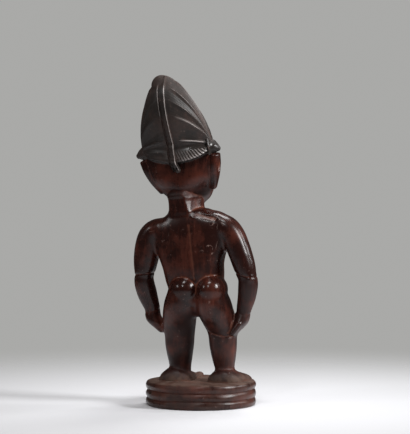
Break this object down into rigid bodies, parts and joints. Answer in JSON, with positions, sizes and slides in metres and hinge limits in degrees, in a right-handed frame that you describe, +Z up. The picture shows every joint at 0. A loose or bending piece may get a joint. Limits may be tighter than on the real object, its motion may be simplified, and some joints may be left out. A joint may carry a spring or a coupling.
{
  "type": "standing twin figure",
  "caption": "Carved wooden standing figure with a tall fluted swept-back crest of hair and hands on its thighs, on a round ridged base.",
  "frame": {"origin": "centre of the base's flat underside", "axes": "+Z up the figure from the base to the crest, -Y the way the figure faces, +X the figure's left hand side"},
  "size_m": [0.1049, 0.0977, 0.2672],
  "materials": {
    "dark_wood": "dark reddish-brown wood worn to a gloss, hair blackened, dust on the feet and the top of the base"
  },
  "bodies": {
    "root": {"ibeji_figure": "dark_wood"}
  },
  "joints": []
}
